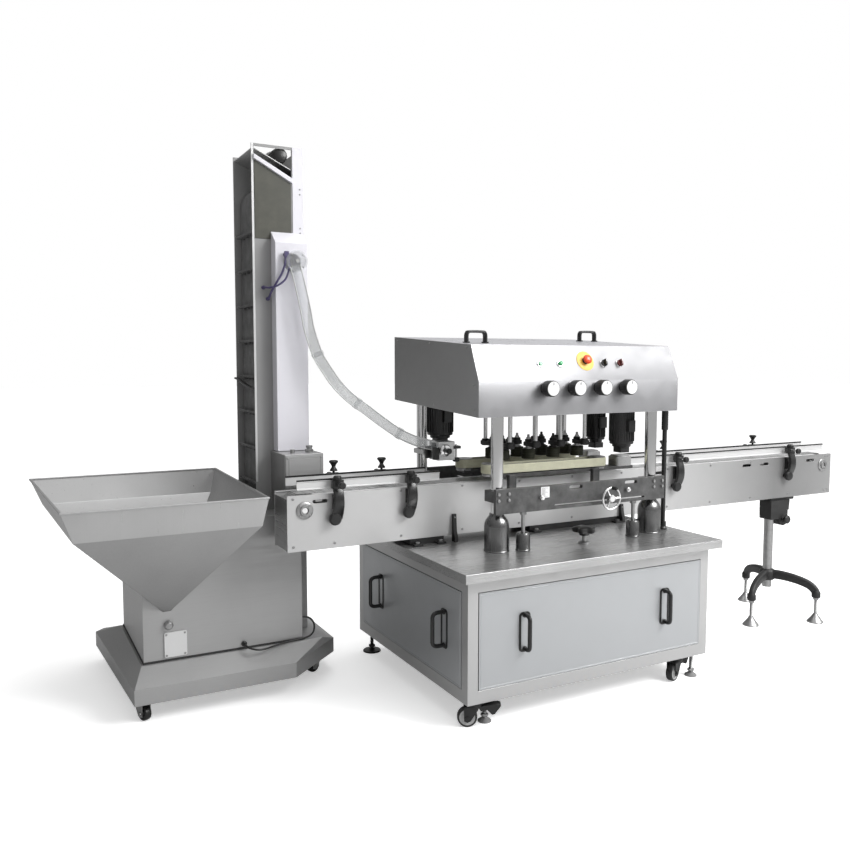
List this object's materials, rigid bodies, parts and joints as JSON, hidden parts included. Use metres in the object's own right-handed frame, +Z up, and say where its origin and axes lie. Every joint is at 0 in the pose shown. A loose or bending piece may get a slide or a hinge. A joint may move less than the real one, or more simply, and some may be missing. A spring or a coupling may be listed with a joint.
{
  "type": "capping machine",
  "caption": "In-line bottle capping machine with spinning capping wheels in a lifting head, grip belts, slat conveyor on a tripod stand, and a hopper-fed cap elevator with a clear chute.",
  "frame": {"origin": "middle of the footprint of the whole machine, on the floor", "axes": "+X along the conveyor, in the direction the bottles travel; +Y from the control side to the back; +Z up"},
  "size_m": [3.99, 1.495, 2.25],
  "materials": {
    "painted_body": "satin grey powder coat",
    "panel": "satin grey powder coat",
    "table": "brushed",
    "tyre": "matt",
    "column": "polished",
    "casing": "satin",
    "deck": "machined",
    "red_plastic": "gloss",
    "green_plastic": "gloss",
    "black_plastic": "matt",
    "dark_red_plastic": "matt",
    "dark_steel": "satin",
    "handwheel": "polished",
    "belt": "matt",
    "conveyor": "brushed",
    "chain": "brushed",
    "roller": "turned",
    "rail": "brushed",
    "stand": "satin black",
    "hopper": "brushed",
    "mast": "satin",
    "cover": "satin",
    "rubber": "matt",
    "capping_rubber": "matt",
    "clear_plastic": "clear",
    "fork": "zinc plated"
  },
  "bodies": {
    "machine": {"cabinet_frame": "painted_body", "table_top": "table", "front_left_column": "column", "front_right_column": "column", "rear_left_column": "column", "rear_right_column": "column", "front_beam": "dark_steel", "rear_beam": "dark_steel", "conveyor_frame": "conveyor", "slat_chain": "chain", "conveyor_stand": "stand", "elevator_base": "painted_body", "hopper": "hopper", "elevator_cabinet": "painted_body", "elevator_mast": "mast", "mast_cover": "cover", "cleated_belt": "rubber", "discharge_hood": "dark_steel", "cap_chute": "clear_plastic"},
    "head": {"head_casing": "casing", "head_deck": "deck"},
    "front_capping_wheel_1": {"front_capping_wheel_1": "capping_rubber"},
    "front_capping_wheel_2": {"front_capping_wheel_2": "capping_rubber"},
    "front_capping_wheel_3": {"front_capping_wheel_3": "capping_rubber"},
    "front_capping_wheel_4": {"front_capping_wheel_4": "capping_rubber"},
    "rear_capping_wheel_1": {"rear_capping_wheel_1": "capping_rubber"},
    "rear_capping_wheel_2": {"rear_capping_wheel_2": "capping_rubber"},
    "rear_capping_wheel_3": {"rear_capping_wheel_3": "capping_rubber"},
    "rear_capping_wheel_4": {"rear_capping_wheel_4": "capping_rubber"},
    "speed_knob_1": {"speed_knob_1": "black_plastic"},
    "speed_knob_2": {"speed_knob_2": "black_plastic"},
    "speed_knob_3": {"speed_knob_3": "black_plastic"},
    "speed_knob_4": {"speed_knob_4": "black_plastic"},
    "emergency_stop": {"emergency_stop": "red_plastic"},
    "start_button": {"start_button": "green_plastic"},
    "mode_selector": {"mode_selector": "black_plastic"},
    "light_selector": {"light_selector": "dark_red_plastic"},
    "front_grip": {"front_grip_belt": "belt"},
    "rear_grip": {"rear_grip_belt": "belt"},
    "grip_handwheel": {"grip_handwheel": "handwheel"},
    "star_knob": {"star_knob": "black_plastic"},
    "front_panel": {"front_panel": "panel"},
    "left_panel": {"left_panel": "panel"},
    "chain_idler": {"chain_idler_roller": "roller"},
    "chain_drive": {"chain_drive_roller": "roller"},
    "infeed_front_rail": {"infeed_front_rail": "rail"},
    "infeed_rear_rail": {"infeed_rear_rail": "rail"},
    "outfeed_front_rail": {"outfeed_front_rail": "rail"},
    "outfeed_rear_rail": {"outfeed_rear_rail": "rail"},
    "belt_drive": {"belt_drive_roller": "roller"},
    "cabinet_wheel_left": {"cabinet_wheel_left": "tyre"},
    "cabinet_wheel_right": {"cabinet_wheel_right": "tyre"},
    "caster_fork_front_left": {"caster_fork_front_left": "fork"},
    "caster_wheel_front_left": {"caster_wheel_front_left": "tyre"},
    "caster_fork_front_right": {"caster_fork_front_right": "fork"},
    "caster_wheel_front_right": {"caster_wheel_front_right": "tyre"},
    "caster_fork_rear_left": {"caster_fork_rear_left": "fork"},
    "caster_wheel_rear_left": {"caster_wheel_rear_left": "tyre"},
    "caster_fork_rear_right": {"caster_fork_rear_right": "fork"},
    "caster_wheel_rear_right": {"caster_wheel_rear_right": "tyre"}
  },
  "joints": [
    {"name": "head_lift", "type": "slide", "parent": "machine", "child": "head", "axis": [0, 0, 1], "range_m": [0, 0.1]},
    {"name": "front_capping_spin_1", "type": "hinge", "parent": "head", "child": "front_capping_wheel_1", "pos_m": [-0.15, -0.1975, 0.954], "axis": [0, 0, 1], "continuous": true},
    {"name": "front_capping_spin_2", "type": "hinge", "parent": "head", "child": "front_capping_wheel_2", "pos_m": [-0.015, -0.1975, 0.954], "axis": [0, 0, 1], "continuous": true},
    {"name": "front_capping_spin_3", "type": "hinge", "parent": "head", "child": "front_capping_wheel_3", "pos_m": [0.12, -0.1975, 0.954], "axis": [0, 0, 1], "continuous": true},
    {"name": "front_capping_spin_4", "type": "hinge", "parent": "head", "child": "front_capping_wheel_4", "pos_m": [0.255, -0.1975, 0.954], "axis": [0, 0, 1], "continuous": true},
    {"name": "rear_capping_spin_1", "type": "hinge", "parent": "head", "child": "rear_capping_wheel_1", "pos_m": [-0.15, -0.1075, 0.954], "axis": [0, 0, 1], "continuous": true},
    {"name": "rear_capping_spin_2", "type": "hinge", "parent": "head", "child": "rear_capping_wheel_2", "pos_m": [-0.015, -0.1075, 0.954], "axis": [0, 0, 1], "continuous": true},
    {"name": "rear_capping_spin_3", "type": "hinge", "parent": "head", "child": "rear_capping_wheel_3", "pos_m": [0.12, -0.1075, 0.954], "axis": [0, 0, 1], "continuous": true},
    {"name": "rear_capping_spin_4", "type": "hinge", "parent": "head", "child": "rear_capping_wheel_4", "pos_m": [0.255, -0.1075, 0.954], "axis": [0, 0, 1], "continuous": true},
    {"name": "speed_knob_turn_1", "type": "hinge", "parent": "head", "child": "speed_knob_1", "pos_m": [-0.15, -0.5225, 1.255], "axis": [0, -1, 0], "range_deg": [-135, 135]},
    {"name": "speed_knob_turn_2", "type": "hinge", "parent": "head", "child": "speed_knob_2", "pos_m": [-0.015, -0.5225, 1.255], "axis": [0, -1, 0], "range_deg": [-135, 135]},
    {"name": "speed_knob_turn_3", "type": "hinge", "parent": "head", "child": "speed_knob_3", "pos_m": [0.12, -0.5225, 1.255], "axis": [0, -1, 0], "range_deg": [-135, 135]},
    {"name": "speed_knob_turn_4", "type": "hinge", "parent": "head", "child": "speed_knob_4", "pos_m": [0.255, -0.5225, 1.255], "axis": [0, -1, 0], "range_deg": [-135, 135]},
    {"name": "emergency_stop_press", "type": "slide", "parent": "head", "child": "emergency_stop", "axis": [0, 0.9195, -0.3932], "range_m": [0, 0.005], "stiffness_N_per_m": 900},
    {"name": "start_button_press", "type": "slide", "parent": "head", "child": "start_button", "axis": [0, 0.9195, -0.3932], "range_m": [0, 0.004], "stiffness_N_per_m": 600},
    {"name": "mode_selector_turn", "type": "hinge", "parent": "head", "child": "mode_selector", "pos_m": [0.168, -0.47836, 1.35315], "axis": [0, -0.9195, 0.3932], "range_deg": [-45, 45]},
    {"name": "light_selector_turn", "type": "hinge", "parent": "head", "child": "light_selector", "pos_m": [0.254, -0.47836, 1.35315], "axis": [0, -0.9195, 0.3932], "range_deg": [-45, 45]},
    {"name": "front_grip_slide", "type": "slide", "parent": "machine", "child": "front_grip", "axis": [0, 1, 0], "range_m": [-0.02, 0.03]},
    {"name": "rear_grip_slide", "type": "slide", "parent": "machine", "child": "rear_grip", "axis": [0, 1, 0], "range_m": [-0.03, 0.02]},
    {"name": "grip_handwheel_turn", "type": "hinge", "parent": "machine", "child": "grip_handwheel", "pos_m": [0.158, -0.5185, 0.79], "axis": [0, 1, 0], "range_deg": [-1441, 2161]},
    {"name": "star_knob_turn", "type": "hinge", "parent": "machine", "child": "star_knob", "pos_m": [0.042, -0.5265, 0.64], "axis": [0, 0, 1], "continuous": true},
    {"name": "front_panel_lift_off", "type": "slide", "parent": "machine", "child": "front_panel", "axis": [0, -1, 0], "range_m": [0, 0.15]},
    {"name": "left_panel_lift_off", "type": "slide", "parent": "machine", "child": "left_panel", "axis": [-1, 0, 0], "range_m": [0, 0.15]},
    {"name": "chain_idler_spin", "type": "hinge", "parent": "machine", "child": "chain_idler", "pos_m": [-1.078, -0.1525, 0.791], "axis": [0, 1, 0], "continuous": true},
    {"name": "chain_drive_spin", "type": "hinge", "parent": "machine", "child": "chain_drive", "pos_m": [1.925, -0.1525, 0.791], "axis": [0, 1, 0], "continuous": true},
    {"name": "infeed_front_rail_slide", "type": "slide", "parent": "machine", "child": "infeed_front_rail", "axis": [0, 1, 0], "range_m": [-0.01, 0.02]},
    {"name": "infeed_rear_rail_slide", "type": "slide", "parent": "machine", "child": "infeed_rear_rail", "axis": [0, 1, 0], "range_m": [-0.02, 0.01]},
    {"name": "outfeed_front_rail_slide", "type": "slide", "parent": "machine", "child": "outfeed_front_rail", "axis": [0, 1, 0], "range_m": [-0.01, 0.02]},
    {"name": "outfeed_rear_rail_slide", "type": "slide", "parent": "machine", "child": "outfeed_rear_rail", "axis": [0, 1, 0], "range_m": [-0.02, 0.01]},
    {"name": "belt_drive_spin", "type": "hinge", "parent": "machine", "child": "belt_drive", "pos_m": [-1.071, 0.2775, 2.04], "axis": [0, 1, 0], "continuous": true},
    {"name": "cabinet_wheel_left_roll", "type": "hinge", "parent": "machine", "child": "cabinet_wheel_left", "pos_m": [-0.59449, -0.64842, 0.038], "axis": [-0.4695, -0.8829, 0], "continuous": true},
    {"name": "cabinet_wheel_right_roll", "type": "hinge", "parent": "machine", "child": "cabinet_wheel_right", "pos_m": [0.41181, -0.67276, 0.038], "axis": [0.342, -0.9397, 0], "continuous": true},
    {"name": "caster_front_left_swivel", "type": "hinge", "parent": "machine", "child": "caster_fork_front_left", "pos_m": [-1.665, -0.0125, 0.07], "axis": [0, 0, 1], "continuous": true},
    {"name": "caster_front_left_roll", "type": "hinge", "parent": "caster_fork_front_left", "child": "caster_wheel_front_left", "pos_m": [-1.65655, -0.03063, 0.03], "axis": [0.9063, 0.4226, 0], "continuous": true},
    {"name": "caster_front_right_swivel", "type": "hinge", "parent": "machine", "child": "caster_fork_front_right", "pos_m": [-0.9, 0.1475, 0.07], "axis": [0, 0, 1], "continuous": true},
    {"name": "caster_front_right_roll", "type": "hinge", "parent": "caster_fork_front_right", "child": "caster_wheel_front_right", "pos_m": [-0.91879, 0.14066, 0.03], "axis": [0.342, -0.9397, 0], "continuous": true},
    {"name": "caster_rear_left_swivel", "type": "hinge", "parent": "machine", "child": "caster_fork_rear_left", "pos_m": [-1.665, 0.6175, 0.07], "axis": [0, 0, 1], "continuous": true},
    {"name": "caster_rear_left_roll", "type": "hinge", "parent": "caster_fork_rear_left", "child": "caster_wheel_rear_left", "pos_m": [-1.65816, 0.63629, 0.03], "axis": [-0.9397, 0.342, 0], "continuous": true},
    {"name": "caster_rear_right_swivel", "type": "hinge", "parent": "machine", "child": "caster_fork_rear_right", "pos_m": [-0.915, 0.5475, 0.07], "axis": [0, 0, 1], "continuous": true},
    {"name": "caster_rear_right_roll", "type": "hinge", "parent": "caster_fork_rear_right", "child": "caster_wheel_rear_right", "pos_m": [-0.89768, 0.5375, 0.03], "axis": [0.5, 0.866, 0], "continuous": true}
  ],
  "couplings": [
    {"joint": "front_capping_spin_2", "follows": "front_capping_spin_1", "ratio": 1},
    {"joint": "front_capping_spin_3", "follows": "front_capping_spin_1", "ratio": 1},
    {"joint": "front_capping_spin_4", "follows": "front_capping_spin_1", "ratio": 1},
    {"joint": "rear_capping_spin_1", "follows": "front_capping_spin_1", "ratio": 1},
    {"joint": "rear_capping_spin_2", "follows": "front_capping_spin_1", "ratio": 1},
    {"joint": "rear_capping_spin_3", "follows": "front_capping_spin_1", "ratio": 1},
    {"joint": "rear_capping_spin_4", "follows": "front_capping_spin_1", "ratio": 1},
    {"joint": "rear_grip_slide", "follows": "front_grip_slide", "ratio": -1},
    {"joint": "grip_handwheel_turn", "follows": "front_grip_slide", "rad_per_m": 1256.6},
    {"joint": "chain_idler_spin", "follows": "chain_drive_spin", "ratio": 1}
  ]
}
